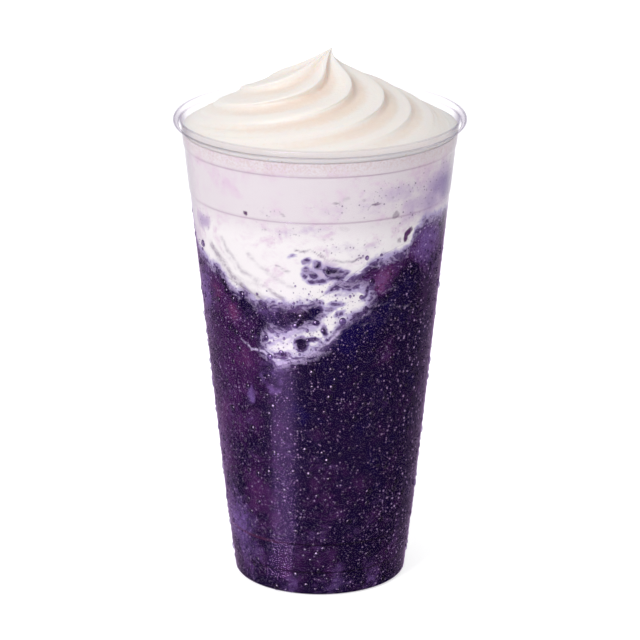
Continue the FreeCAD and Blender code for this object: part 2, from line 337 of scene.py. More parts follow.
def points_of(mesh):
    """The mesh's points as an array, one to a row."""
    points = np.empty(len(mesh.vertices) * 3)
    mesh.vertices.foreach_get("co", points)
    return points.reshape(-1, 3)


def move_points(mesh, points):
    mesh.vertices.foreach_set("co", points.ravel())
    mesh.update()


def add_piece(name, mesh, material, *nodes, slot=None):
    """Put a finished piece in the scene, standing in for its CAD nodes."""
    piece = bpy.data.objects.new(name, mesh)
    bpy.context.scene.collection.objects.link(piece)
    mesh.materials.append(material)
    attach(piece, "root")
    if nodes:
        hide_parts(*nodes)
    return piece


# Materials


def feed(tree, socket, value):
    """Link a socket, or set its value."""
    if isinstance(value, bpy.types.NodeSocket):
        tree.links.new(value, socket)
    elif isinstance(value, (tuple, list)) or hasattr(value, "__len__"):
        value = tuple(value)
        socket.default_value = (*value, 1.0) if len(socket.default_value) == 4 and len(value) == 3 else value
    else:
        socket.default_value = value


def add_node(tree, kind, inputs=None, **choices):
    node = tree.nodes.new(kind)
    for name, value in choices.items():
        setattr(node, name, value)
    for name, value in (inputs or {}).items():
        feed(tree, node.inputs[name], value)
    return node


def maths(tree, operation, *values, clamp=False):
    node = add_node(tree, "ShaderNodeMath", operation=operation, use_clamp=clamp)
    for number, value in enumerate(values):
        feed(tree, node.inputs[number], value)
    return node.outputs[0]


def mixed(tree, factor, first, second, blend="MIX"):
    node = add_node(tree, "ShaderNodeMix", data_type="RGBA", blend_type=blend, clamp_factor=True)
    feed(tree, node.inputs["Factor"], factor)
    feed(tree, node.inputs[6], first)
    feed(tree, node.inputs[7], second)
    return node.outputs[2]


def between(tree, value, low, high, smooth=True):
    """0 where the value is under low, 1 where it is over high, and eased in between."""
    node = add_node(
        tree, "ShaderNodeMapRange", interpolation_type="SMOOTHSTEP" if smooth else "LINEAR", clamp=True
    )
    feed(tree, node.inputs["Value"], value)
    feed(tree, node.inputs["From Min"], low)
    feed(tree, node.inputs["From Max"], high)
    return node.outputs["Result"]


def attribute(tree, name):
    return add_node(tree, "ShaderNodeAttribute", attribute_name=name).outputs["Fac"]


def new_material(name):
    material = bpy.data.materials.new(name)
    material.use_nodes = True
    tree = material.node_tree
    tree.nodes.clear()
    output = tree.nodes.new("ShaderNodeOutputMaterial")
    return material, tree, output


def clear_to_light(tree, output, shader):
    """Let light through to what lies behind a clear piece."""
    path = add_node(tree, "ShaderNodeLightPath")
    clear = add_node(tree, "ShaderNodeBsdfTransparent")
    mix = add_node(tree, "ShaderNodeMixShader")
    tree.links.new(path.outputs["Is Shadow Ray"], mix.inputs[0])
    tree.links.new(shader, mix.inputs[1])
    tree.links.new(clear.outputs[0], mix.inputs[2])
    tree.links.new(mix.outputs[0], output.inputs["Surface"])


def glancing(tree, least, most, power):
    """How much a thin clear surface reflects: least face on and most edge on. Its inner side doesn't."""
    facing = add_node(tree, "ShaderNodeLayerWeight", {"Blend": 0.5}).outputs["Facing"]
    rise = maths(tree, "POWER", facing, power)
    shine = maths(tree, "MULTIPLY_ADD", rise, maths(tree, "SUBTRACT", most, least), least)
    outside = maths(tree, "SUBTRACT", 1.0, add_node(tree, "ShaderNodeNewGeometry").outputs["Backfacing"])
    return maths(tree, "MULTIPLY", shine, outside)


def clear_shader(tree, output, clear_colour, shine, roughness, gloss_colour):
    """A see-through surface with a gloss over it."""
    clear = add_node(tree, "ShaderNodeBsdfTransparent", {"Color": clear_colour})
    gloss = add_node(tree, "ShaderNodeBsdfGlossy", {"Roughness": roughness, "Color": gloss_colour})
    mix = add_node(tree, "ShaderNodeMixShader")
    feed(tree, mix.inputs[0], shine)
    tree.links.new(clear.outputs[0], mix.inputs[1])
    tree.links.new(gloss.outputs[0], mix.inputs[2])
    tree.links.new(mix.outputs[0], output.inputs["Surface"])


def plastic_material(cup):
    """Thin clear plastic, which reflects at grazing angles and is hazed by fine mist lower down."""
    material, tree, output = new_material("clear_plastic")
    coordinates = add_node(tree, "ShaderNodeTexCoord")
    height = add_node(tree, "ShaderNodeSeparateXYZ", {"Vector": coordinates.outputs["Object"]})
    misted = between(tree, height.outputs["Z"], cup.mist_top + 12 * MM, cup.mist_top - 12 * MM)
    facing = add_node(tree, "ShaderNodeLayerWeight", {"Blend": 0.5}).outputs["Facing"]
    tint = mixed(tree, between(tree, facing, 0.6, 1.05), cup.plastic, cup.plastic_edge)
    roughness = maths(tree, "MULTIPLY_ADD", misted, cup.mist_roughness - cup.dry_roughness, cup.dry_roughness)
    least = maths(tree, "MULTIPLY_ADD", misted, cup.wet_shine - cup.dry_shine, cup.dry_shine)
    most = maths(tree, "MULTIPLY_ADD", misted, cup.wet_glare - cup.dry_glare, cup.dry_glare)
    gloss = mixed(tree, misted, (1, 1, 1), cup.mist)
    # Painted shade: the plastic darkens what lies behind it along each shoulder.
    for shoulder in shoulders(cup):
        middle = shoulder + cup.shoulder_height / 2
        away = maths(tree, "ABSOLUTE", maths(tree, "SUBTRACT", height.outputs["Z"], middle))
        bend = between(tree, away, cup.shoulder_height / 2, cup.shoulder_height / 5)
        tint = mixed(tree, bend, tint, cup.shoulder_shade if shoulder > cup.mist_top else cup.low_shoulder_shade)
    clear_shader(tree, output, tint, glancing(tree, least, most, 6.5), roughness, gloss)
    return material


def water_material(water):
    """Clear water, which darkens what lies behind it, most of all at a drop's edge."""
    material, tree, output = new_material("water")
    facing = add_node(tree, "ShaderNodeLayerWeight", {"Blend": 0.5}).outputs["Facing"]
    tint = mixed(tree, between(tree, facing, 0.25, 0.85), water.tint, water.rim)
    shine = glancing(tree, water.shine, water.glare, 3.0)
    clear_shader(tree, output, tint, shine, water.roughness, water.gloss)
    return material


def noise_level(tree, place, size, detail=4.0, roughness=0.6, bend=0.0):
    """A noise with features of about this size in metres, from about -0.5 to 0.5."""
    node = add_node(
        tree,
        "ShaderNodeTexNoise",
        {"Vector": place, "Scale": 1 / size, "Detail": detail, "Roughness": roughness, "Distortion": bend},
    )
    return maths(tree, "SUBTRACT", node.outputs["Fac"], 0.5)


def plus(tree, value, level, amount):
    """The value with so much of a noise level added."""
    return maths(tree, "MULTIPLY_ADD", level, amount, value)


def dots(tree, place, size, radius, chance):
    """1 on round dots of this radius, scattered one to a cell of this size, with this chance of one."""
    cells = add_node(tree, "ShaderNodeTexVoronoi", {"Vector": place, "Scale": 1 / size, "Randomness": 0.9})
    picked = add_node(tree, "ShaderNodeSeparateXYZ", {"Vector": cells.outputs["Color"]})
    shrunk = maths(tree, "MULTIPLY", cells.outputs["Distance"], maths(tree, "ADD", picked.outputs["Y"], 0.7))
    dot = between(tree, shrunk, radius / size, 0.5 * radius / size)
    return maths(tree, "MULTIPLY", dot, maths(tree, "LESS_THAN", picked.outputs["X"], chance))


def along_flow(tree, place):
    """The place, squeezed along the way the milk was poured, so that a noise there draws threads."""
    turn = add_node(
        tree, "ShaderNodeMapping", {"Vector": place, "Rotation": (0, math.radians(28), 0), "Scale": (0.55, 1, 1)}
    )
    return turn.outputs["Vector"]


def threads(tree, place, size, bend):
    """1 on thin wandering lines, where a noise crosses its middle."""
    level = noise_level(tree, place, size, 3.0, 0.55, bend)
    return between(tree, maths(tree, "ABSOLUTE", level), 0.1, 0.0)


def soda_colours(tree, drink, foam):
    """Colour of the marbled drink, from the attributes that its pieces carry."""
    place = add_node(tree, "ShaderNodeTexCoord").outputs["Object"]
    height = add_node(tree, "ShaderNodeSeparateXYZ", {"Vector": place}).outputs["Z"]
    flow = along_flow(tree, place)
    wisps = noise_level(tree, flow, 2.2 * MM, 6.0, 0.66, 0.9)
    clouds = noise_level(tree, place, 9 * MM, 4.0, 0.55, 0.6)
    grain = noise_level(tree, place, 0.9 * MM, 3.0, 0.7)
    lines = threads(tree, flow, 3.6 * MM, 0.8)
    web = attribute(tree, "web")

    milk = plus(tree, attribute(tree, "milk"), wisps, 5.5)
    gaps = maths(tree, "SUBTRACT", 1.0, lines)
    milk = maths(tree, "SUBTRACT", milk, maths(tree, "MULTIPLY", maths(tree, "MULTIPLY", web, gaps), 1.7))
    red = plus(tree, attribute(tree, "redness"), wisps, 1.6)
    red = plus(tree, red, grain, 0.5)
    pale = plus(tree, attribute(tree, "paleness"), clouds, 0.8)
    pale = plus(tree, pale, wisps, 1.9)

    soda = mixed(tree, between(tree, red, 0.0, 1.1), drink.deep, drink.plum)
    soda = mixed(tree, between(tree, red, 0.9, 2.2), soda, drink.red)
    soda = mixed(tree, between(tree, red, 0.0, -0.9), soda, drink.navy)
    # The pale tint is partly milk and partly painted glare, low on the left and round the foot.
    soda = mixed(tree, between(tree, pale, 0.15, 1.35), soda, drink.lilac)

    # A painted highlight: a faint red line where the soda stands against the low shoulder, on the lit left side.
    side = add_node(tree, "ShaderNodeSeparateXYZ", {"Vector": place}).outputs["X"]
    level = maths(tree, "ABSOLUTE", maths(tree, "SUBTRACT", height, 19.2 * MM))
    line = maths(tree, "MULTIPLY", between(tree, level, 0.7 * MM, 0.2 * MM), between(tree, side, -8 * MM, -22 * MM))
    soda = mixed(tree, maths(tree, "MULTIPLY", line, 0.7), soda, drink.red)

    # Milk thins out into a veil, and draws threads through it.
    veil = mixed(tree, between(tree, milk, -3.4, -0.3), soda, foam.veil)
    thread = maths(tree, "MULTIPLY", lines, between(tree, milk, -3.6, -0.6))
    veil = mixed(tree, maths(tree, "MULTIPLY", thread, 0.5), veil, foam.vein)
    veil = mixed(tree, between(tree, milk, -0.3, 0.8), veil, foam.shade)

    tone = plus(tree, milk, clouds, 4.5)
    white = mixed(tree, between(tree, height, 127 * MM, 137 * MM), foam.foam, foam.upper)
    pink = between(tree, plus(tree, clouds, wisps, 0.5), -0.04, 0.26)
    thick = mixed(tree, maths(tree, "MULTIPLY", pink, between(tree, milk, 2.0, 9.0)), white, foam.pink)
    lavender = plus(tree, plus(tree, attribute(tree, "lavender"), clouds, 1.6), wisps, 0.7)
    thick = mixed(tree, between(tree, lavender, 0.3, 1.3), thick, foam.lavender)
    thick = mixed(tree, between(tree, lavender, 1.0, 2.2), thick, foam.violet)

    # Froth and fine bubbles in the foam.
    frothy = between(tree, plus(tree, height, clouds, 6 * MM), 150 * MM, 155 * MM)
    froth = between(tree, noise_level(tree, place, 0.7 * MM, 2.0, 0.6), -0.1, 0.16)
    thick = mixed(tree, maths(tree, "MULTIPLY", maths(tree, "MULTIPLY", froth, frothy), 0.8), thick, foam.froth)
    fine = maths(tree, "MULTIPLY", dots(tree, place, 1.15 * MM, 0.28 * MM, 0.8), between(tree, lavender, 0.0, 0.8))
    thick = mixed(tree, maths(tree, "MULTIPLY", fine, between(tree, milk, 4.0, 8.0)), thick, foam.streak)
    thick = mixed(tree, between(tree, tone, 0.4, 3.0), veil, thick)

    # Veins break up where the wisps are low.
    veins = attribute(tree, "veins")
    broken = maths(tree, "MULTIPLY_ADD", wisps, 3.2, 0.9)
    veins = maths(tree, "MULTIPLY", veins, broken)
    mix = mixed(tree, between(tree, veins, 0.12, 1.0), thick, foam.vein)

    streaks = maths(tree, "MULTIPLY", attribute(tree, "streaks"), maths(tree, "MULTIPLY_ADD", wisps, 2.4, 0.9))
    mix = mixed(tree, between(tree, streaks, 0.05, 1.3), mix, foam.streak)
    bubbles = plus(tree, attribute(tree, "bubbles"), wisps, 0.5)
    mix = mixed(tree, between(tree, bubbles, 0.15, 1.5), mix, foam.bubble)

    # Fine bubbles and drops on the wall, over the soda, with painted glints.
    glint_specks = dots(tree, place, 1.1 * MM, 0.25 * MM, 0.65)
    glint_zone = between(tree, plus(tree, height, clouds, 14 * MM), 150 * MM, 138 * MM)
    dark = between(tree, milk, 1.5, -1.5)
    glint_specks = maths(tree, "MULTIPLY", glint_specks, maths(tree, "MULTIPLY", glint_zone, dark))
    mix = mixed(tree, maths(tree, "MULTIPLY", glint_specks, 0.62), mix, foam.painted_glint)
    # Painted glints of beads of water, strongest at the sides.
    beads = maths(tree, "MULTIPLY", dots(tree, place, 1.7 * MM, 0.4 * MM, 0.9), attribute(tree, "beads"))
    beads = maths(tree, "MULTIPLY", beads, maths(tree, "MULTIPLY", glint_zone, dark))
    return mixed(tree, maths(tree, "MULTIPLY", beads, 0.75), mix, foam.painted_glint)


def drink_material(name, drink, foam):
    material, tree, output = new_material(name)
    tint = soda_colours(tree, drink, foam)
    shader = add_node(
        tree,
        "ShaderNodeBsdfPrincipled",
        {"Base Color": tint, "Roughness": 0.6, "Specular IOR Level": 0.0},
    )
    tree.links.new(shader.outputs[0], output.inputs["Surface"])
    return material


def cream_material(cream):
    material, tree, output = new_material("whipped_cream")
    place = add_node(tree, "ShaderNodeTexCoord").outputs["Object"]
    height = add_node(tree, "ShaderNodeSeparateXYZ", {"Vector": place}).outputs["Z"]
    mottle = noise_level(tree, place, 2.4 * MM, 5.0, 0.7, 0.8)
    # Painted shade: the cream turns warmer and darker deep in the folds.
    fold = plus(tree, attribute(tree, "fold"), mottle, 0.8)
    tint = mixed(tree, between(tree, fold, 0.0, 1.0), cream.cream, cream.fold)
    pits = dots(tree, place, 1.3 * MM, 0.3 * MM, 0.7)
    low = between(tree, plus(tree, height, mottle, 9 * MM), 163 * MM, 158 * MM)
    tint = mixed(tree, maths(tree, "MULTIPLY", maths(tree, "MULTIPLY", pits, low), 0.6), tint, cream.pit)
    rough = noise_level(tree, place, 1.1 * MM, 4.0, 0.6)
    bump = add_node(tree, "ShaderNodeBump", {"Height": rough, "Strength": 0.35, "Distance": 0.4 * MM})
    shader = add_node(
        tree,
        "ShaderNodeBsdfPrincipled",
        {
            "Base Color": tint,
            "Roughness": 0.42,
            "Specular IOR Level": 0.4,
            "Subsurface Weight": 0.6,
            "Subsurface Radius": (1.0, 0.75, 0.55),
            "Subsurface Scale": 0.004,
            "Normal": bump.outputs["Normal"],
        },
    )
    tree.links.new(shader.outputs[0], output.inputs["Surface"])
    return material


# Marbling


def drink_top(drink, half, x, y):
    """Height of the boundary between drink and foam."""
    plume_x = drink.plume_distance * math.sin(drink.plume_angle)
    plume_y = -drink.plume_distance * math.cos(drink.plume_angle)
    away = ((x - plume_x) ** 2 + (y - plume_y) ** 2) / drink.plume_radius**2
    return drink.height + drink.tilt * x / half - drink.plume_depth * np.exp(-away)


# Where things lie on the wall: degrees round from the front, to the right, and millimetres up.
# Millimetres round the wall in one degree, where the drink is marbled.
DEGREE = 0.768

FOAM_EDGE = [
    (-180, 122), (-174, 119), (-166, 114.5), (-158, 114), (-151, 117.5), (-144, 120), (-136, 121), (-128, 125),
    (-121, 127), (-114, 125.5), (-108, 121.5), (-100, 121.5), (-90, 123), (-75, 117), (-68, 116.5),
    (-60, 114.5), (-54, 115.5), (-47, 110.5), (-42, 108), (-37, 109.5), (-33, 106.5), (-23, 107), (-15, 106.5),
    (0, 107.5), (4, 112), (8, 115), (17, 116), (20, 118), (24, 121), (31, 121), (39, 122.5), (44, 124),
    (47, 128.5), (53, 132), (62, 131), (75, 131), (84, 129.5),
    (91, 125), (97, 120.5), (104, 118), (112, 118.5), (119, 122.5), (126, 124), (132, 121), (138, 116), (146, 113.5),
    (156, 111), (164, 112), (171, 117.5), (180, 122),
]
TONGUE = [
    (-6, 115), (8, 112), (19, 113), (23, 111.5), (24, 109), (22.5, 106), (18, 103.5), (10, 100), (7, 97.5),
    (3, 93), (-2, 90), (-11, 87.5), (-21, 85), (-25, 87), (-29, 89.5), (-27, 95), (-24, 97), (-17, 97),
    (-9, 99), (-1, 101), (3, 104), (-1, 107), (-12, 107.5), (-20, 107), (-20, 112),
]
# Angle, height, half length, half width and slant of each dark hole.
HOLES = [
    (-6, 122.4, 1.0, 0.8, 0), (-1, 120.8, 1.6, 1.2, -40), (3.2, 119, 1.7, 1.3, -60), (6.5, 118.9, 3.6, 1.3, -12),
    (8, 116.6, 2.9, 0.9, 4), (12.2, 118.2, 0.8, 0.7, 0), (-6, 119, 1.2, 0.7, -35), (-3, 117.7, 1.8, 0.8, -30),
    (-7, 117, 0.9, 0.6, -50), (-3.5, 115.1, 1.1, 0.6, -10), (0.4, 115.6, 1.7, 0.6, 6), (-12.5, 123.8, 0.8, 0.5, 0),
    (0.1, 108.1, 1.0, 0.6, 0), (8.1, 107.6, 1.9, 0.55, 0), (5, 105.8, 1.3, 0.6, 10), (9.1, 104, 1.3, 0.6, 15),
    (-2.9, 104.9, 3.4, 1.9, 12), (-9.3, 101, 2.8, 1.6, 12), (-16.2, 100.5, 2.6, 1.3, 4), (-8.7, 93, 2.5, 2.5, 0),
    (-3.4, 94.6, 2.3, 0.6, 6), (0.4, 94.2, 1.1, 0.5, -20), (2.6, 98.2, 1.1, 2.2, 25), (-17.5, 88.8, 2.6, 1.0, 8),
    (-21.9, 87.6, 1.0, 0.7, 0), (-22.2, 97.6, 1.5, 0.8, 20), (22, 111.6, 2.6, 0.8, 62),
]
# Each vein's half width, strength and line.
VEINS = [
    (0.4, 0.6, [(-42, 92), (-38, 90)]),
    (0.5, 1.1, [(-38, 90), (-36, 88.8), (-33.7, 89.1), (-29, 89.3), (-25, 87), (-21, 85.3)]),
    (0.6, 0.9, [(-21, 85.3), (-12, 87), (-4, 89.8), (3, 93.2), (9, 97)]),
    (0.9, 0.7, [(-28, 90.5), (-18.7, 94.5), (-11, 98), (1, 100.5)]),
    (0.7, 0.7, [(-26, 96), (-21.5, 93.3), (-16.8, 91.8), (-13, 95)]),
    (0.5, 0.6, [(-29, 89.4), (-24, 91), (-19, 90), (-13, 91), (-10, 89)]),
    (0.4, 0.35, [(-16.8, 82.3), (-13.7, 81.1), (-9.6, 80.6)]),
    (0.5, 0.4, [(26.4, 105.5), (35.4, 105), (42, 103), (46.6, 103.2)]),
    (0.5, 0.4, [(30, 110), (37.6, 110.5)]),
    (0.5, 0.3, [(36.2, 104), (35, 100), (31, 98.5)]),
    (0.6, 0.35, [(9.7, 99), (17, 101.6), (23.7, 102.4)]),
    (0.5, 0.35, [(5, 96), (13, 98.5), (22, 99.5), (30, 99)]),
]
# Soft grey streaks in the foam: half width, strength and line.
STREAKS = [
    (0.5, 0.9, [(-11, 126.2), (-4.4, 126), (0.6, 124.4), (4.8, 122.6), (9.5, 122), (14.7, 122.2), (19, 123.7)]),
    (0.8, 0.4, [(-51, 122.6), (-46.4, 120), (-41.4, 116.4)]),
    (0.8, 0.4, [(-43.6, 114.4), (-35.6, 113), (-26.5, 112.4)]),
    (0.9, 0.9, [(-24.6, 111.5), (-21, 110), (-17.2, 109)]),
    (0.6, 0.7, [(-19.7, 120.3), (-14, 118.3)]),
    (1.9, 0.75, [(-58, 122), (-51, 118), (-45, 113.5), (-37, 110.6), (-29, 109)]),
    (1.3, 0.55, [(-50, 126), (-44, 121), (-38, 116.5), (-30, 114)]),
    (1.1, 0.45, [(-34, 123), (-28, 119), (-20, 115.5), (-12, 113)]),
]
# Bubbles against the wall: angle, height, half length, half width, slant and strength.
BUBBLES = [
    (-33.4, 137, 0.9, 0.9, 0, 1.35), (-24.5, 132.6, 0.9, 0.7, 0, 0.68), (-16.1, 138.1, 1.2, 0.7, -15, 0.68),
    (-25.3, 137.9, 1.0, 0.7, 0, 0.38), (7.3, 142.7, 1.9, 0.5, 0, 0.9), (11.5, 143.9, 1.5, 1.1, 0, 0.45),
    (18.9, 143.2, 0.8, 0.6, 0, 0.6), (23.8, 141.4, 1.7, 0.5, -5, 1.12), (34, 136.3, 1.6, 1.5, 60, 0.83),
    (10.6, 133.8, 1.9, 1.2, 0, 0.38), (23.2, 133.5, 1.1, 1.0, 0, 0.3), (1.8, 130.1, 0.8, 0.6, 0, 0.52),
    (5.1, 130.1, 0.8, 0.6, 0, 0.52), (16.3, 129.6, 0.7, 0.6, 0, 0.52), (8.7, 126.8, 0.6, 0.5, 0, 0.68),
    (11.5, 126.5, 0.6, 0.5, 0, 0.75), (14.3, 126.5, 0.6, 0.5, 0, 0.6), (42.2, 129.4, 1.7, 1.3, 30, 1.5), (41.2, 127.8, 1.5, 1.0, 70, 1.5), (43.8, 130.2, 1.2, 0.9, 0, 1.2),
    (37.1, 127.2, 1.1, 0.8, 20, 0.8), (-42.4, 126.2, 0.6, 0.5, 0, 0.45), (32.1, 142.6, 0.6, 0.5, 0, 0.75),
]
# Patches of colour in the soda: angle, height, radius, redness (blueness below 0) and paleness. The pale patches low
# on the left and round the foot are painted glare and sheen.
PATCHES = [
    (-72, 104, 5, 0.1, 0.75), (-66, 112, 4, 0.6, 0.45), (-58, 108, 6, 1.0, 0.05), (-46, 101, 4, 1.5, 0.1),
    (-26, 104, 3.2, 0.8, 0.5), (-11, 105.5, 2.6, 1.3, 0.1), (-2.5, 105, 4, -0.6, 0), (-40, 84, 7, 1.0, 0),
    (-27, 83, 5, 0.2, 0.3), (-19, 82, 5, 0, 0.25), (-20, 103, 4, 0, 0.3), (28, 114, 6, 0.8, 0.3),
    (16, 113.8, 3.5, 0.7, 0.35), (34, 118, 5, 0.6, 0.25), (27, 120, 2.5, -0.3, -0.4), (52, 124, 6, 0.3, 0.45),
    (62, 128, 7, 0.4, 0.45), (45, 112, 6, -0.5, -0.4), (30, 100, 7, -0.5, 0.12), (15, 96, 7, -1.0, 0),
    (35, 88, 6, 0.6, 0.05), (32, 72, 5, 0.1, 0.3), (-10, 66, 5, -0.6, 0.12), (-55, 80, 9, 0.5, 0.1),
    (-39, 73, 2.2, 0.2, 1.0), (-36.5, 71, 1.8, 0.2, 1.1), (-31, 78.5, 1.5, 0.6, 0.7), (-27, 76.8, 1.9, 0.5, 0.8),
    (-22, 76, 1.8, 0.3, 0.6), (57, 126, 9, 0.5, 0.35), (50, 120, 6, 0.6, 0.35), (66, 118, 9, 0.5, 0.4),
    (-77, 103, 7, 0.1, 1.0), (-73, 90, 6, 0.5, 0.5), (28, 113, 6, 0.8, 0.3), (-35, 98, 7, 0.3, 0.2),
    (-60, 95, 13, 0.6, 0.05), (-50, 60, 18, 0.5, 0.05), (-76, 48, 14, 0.9, 0.45), (-78, 24, 13, 0.9, 0.6), (-57, 22, 10, 0.6, 0.95), (-40, 34, 7, 1.2, -0.2), (-62, 66, 8, 0.6, 0.2),
    (-5, 18, 20, 0.3, 0.12), (50, 20, 16, 0.3, 0.15), (10, 45, 12, 0.3, 0.05),
    (-20, 4, 5, 0.3, 0.7), (12, 5, 5, 0.2, 0.5), (36, 5, 6, 0.3, 0.5), (-55, 7, 6, 0.5, 0.6), (-42, 13, 4, 0.4, 0.4),
]


# Where the milk is a web of threads: angle, height, radius and strength.
WEBS = [
    (-21, 92, 5.5, 0.9), (-12, 89.5, 5, 0.9), (-9, 94.5, 6, 0.4), (-2, 93, 4, 0.5), (-20, 99, 4, 0.7),
    (-6, 101, 5, 0.35), (-1, 117, 7, 0.2), (8, 117, 5, 0.15), (-25, 107, 4, 0.25), (-40, 108, 4, 0.25),
    (20, 118, 4, 0.4), (27, 120, 3, 0.4), (50, 131, 6, 0.4),
]
# Where soda shows through the foam: angle, height, half length, half height and strength.
CLOUDS = [
    (38, 143, 16, 5, 0.95), (20, 141, 14, 3.5, 0.7), (55, 138, 14, 8, 1.3), (68, 142, 14, 7, 2.0),
    (5, 140, 10, 3, 0.45), (-22, 138, 12, 2.6, 0.45), (-8, 133, 14, 2.2, 0.75), (-64, 129.5, 6, 4, 1.3), (1, 118.5, 10, 4.5, 1.1), (-52, 113, 5, 4, 0.8),
    (12, 126, 12, 2.6, 0.8), (-35, 113, 10, 2, 0.45), (-45, 120, 4, 5, 0.45), (-10, 146, 8, 2, 0.25),
    (150, 136, 30, 5, 0.9), (-120, 138, 20, 4, 0.7), (100, 140, 16, 5, 0.9), (-165, 130, 14, 4, 0.6),
]


def round_wall(points):
    """Millimetres round the wall from the front, and up."""
    turn = np.degrees(np.arctan2(points[:, 0], -points[:, 1]))
    return turn * DEGREE, points[:, 2] / MM


def wandering(points, size, seed):
    """A soft noise vector at each point, with features of about this size in millimetres."""
    shift = Vector((seed * 7.3, seed * 3.1, seed * 5.7))
    scale = 1 / (size * MM)
    vectors = [noise.noise_vector(Vector(point) * scale + shift) for point in points]
    return np.array(vectors)


def inside_distance(across, up, corners):
    """Distance into a closed outline on the wall, below 0 outside it."""
    corners = [(turn * DEGREE, height) for turn, height in corners]
    nearest = np.full(len(across), np.inf)
    inside = np.zeros(len(across), dtype=bool)
    for (start_x, start_y), (end_x, end_y) in zip(corners, corners[1:] + corners[:1]):
        nearest = np.minimum(nearest, line_distance(across, up, (start_x, start_y), (end_x, end_y)))
        spans = (start_y > up) != (end_y > up)
        crossing = start_x + (up - start_y) * (end_x - start_x) / (end_y - start_y + 1e-12)
        inside ^= spans & (across < crossing)
    return np.where(inside, nearest, -nearest)


def line_distance(across, up, start, end):
    run_x, run_y = end[0] - start[0], end[1] - start[1]
    along = ((across - start[0]) * run_x + (up - start[1]) * run_y) / (run_x**2 + run_y**2)
    along = np.clip(along, 0, 1)
    return np.hypot(across - start[0] - along * run_x, up - start[1] - along * run_y)


def stroke(across, up, half_width, line):
    """1 on a line on the wall, fading to 0 at a few half widths from it. Its ends taper."""
    corners = [(turn * DEGREE, height) for turn, height in line]
    nearest = np.full(len(across), np.inf)
    for start, end in zip(corners, corners[1:]):
        nearest = np.minimum(nearest, line_distance(across, up, start, end))
    return np.exp(-((nearest / half_width) ** 2))


def oval_distance(across, up, turn, height, half_length, half_width, slant):
    """Distance out of a slanted oval on the wall, below 0 inside it."""
    x, y = across - turn * DEGREE, up - height
    lean = math.radians(slant)
    along = (x * math.cos(lean) + y * math.sin(lean)) / half_length
    beside = (y * math.cos(lean) - x * math.sin(lean)) / half_width
    return (np.hypot(along, beside) - 1) * min(half_length, half_width)


def marbling(points):
    """The marbling's fields at points on the wall: milk, veins, grey streaks, bubbles, redness, and a pale tint that
    is partly painted glare.
    """
    across, up = round_wall(points)
    broad = wandering(points, 9, 1)
    small = wandering(points, 3.2, 2)
    tiny = wandering(points, 1.4, 3)
    near_x = across + 0.35 * broad[:, 0] + 0.7 * small[:, 0] + 0.3 * tiny[:, 0]
    near_y = up + 0.35 * broad[:, 1] + 0.7 * small[:, 1] + 0.3 * tiny[:, 1]
    far_x = across + 2.5 * broad[:, 2] + 1.2 * small[:, 2] + 0.5 * tiny[:, 2]
    far_y = up + 2.0 * broad[:, 1] + 1.2 * small[:, 1] + 0.6 * tiny[:, 1]
    turns, heights = zip(*FOAM_EDGE)
    milk = near_y - np.interp(near_x / DEGREE, turns, heights)
    milk = np.maximum(milk, inside_distance(near_x, near_y, TONGUE))
    holes = np.full(len(points), 9.0)
    for hole in HOLES:
        holes = np.minimum(holes, oval_distance(near_x, near_y, *hole))
    milk = np.minimum(milk, holes * 3.4)
    veins = np.zeros(len(points))
    for half_width, strength, line in VEINS:
        veins = np.maximum(veins, strength * stroke(near_x, near_y, half_width, line))
    streaks = np.zeros(len(points))
    for half_width, strength, line in STREAKS:
        streaks = np.maximum(streaks, strength * stroke(near_x, near_y, half_width, line))
    bubbles = np.zeros(len(points))
    for *oval, strength in BUBBLES:
        edge = oval_distance(near_x, near_y, *oval)
        bubbles = np.maximum(bubbles, strength * np.clip(0.5 - edge / 0.5, 0, 1))
    redness = 0.5 * broad[:, 0] + 0.35 * small[:, 1]
    paleness = 0.25 * np.clip(broad[:, 2], 0, 1)
    for turn, height, radius, red, pale in PATCHES:
        near = np.exp(-((far_x - turn * DEGREE) ** 2 + (far_y - height) ** 2) / radius**2)
        redness += red * near
        paleness += pale * near
    web = np.zeros(len(points))
    for turn, height, radius, strength in WEBS:
        near = np.exp(-((near_x - turn * DEGREE) ** 2 + (near_y - height) ** 2) / radius**2)
        web = np.maximum(web, strength * near)
    # Painted glints: beads of water catch the light at the sides, most of all on the right.
    turned = near_x / DEGREE
    beads = np.clip((turned - 22) / 34, 0, 1) + 0.6 * np.clip((-turned - 24) / 40, 0, 1)
    lavender = np.zeros(len(points))
    for turn, height, half_length, half_height, strength in CLOUDS:
        away = ((far_x - turn * DEGREE) / half_length) ** 2 + ((far_y - height) / half_height) ** 2
        lavender = np.maximum(lavender, strength * np.exp(-away))
    return {
        "web": web,
        "lavender": lavender,
        "milk": milk,
        "veins": veins,
        "streaks": streaks,
        "bubbles": bubbles,
        "redness": redness,
        "paleness": paleness,
        "beads": beads,
    }


def set_attributes(mesh, fields):
    for name, values in fields.items():
        layer = mesh.attributes.new(name, "FLOAT", "POINT")
        layer.data.foreach_set("value", np.asarray(values, dtype=np.float32))


# Pieces


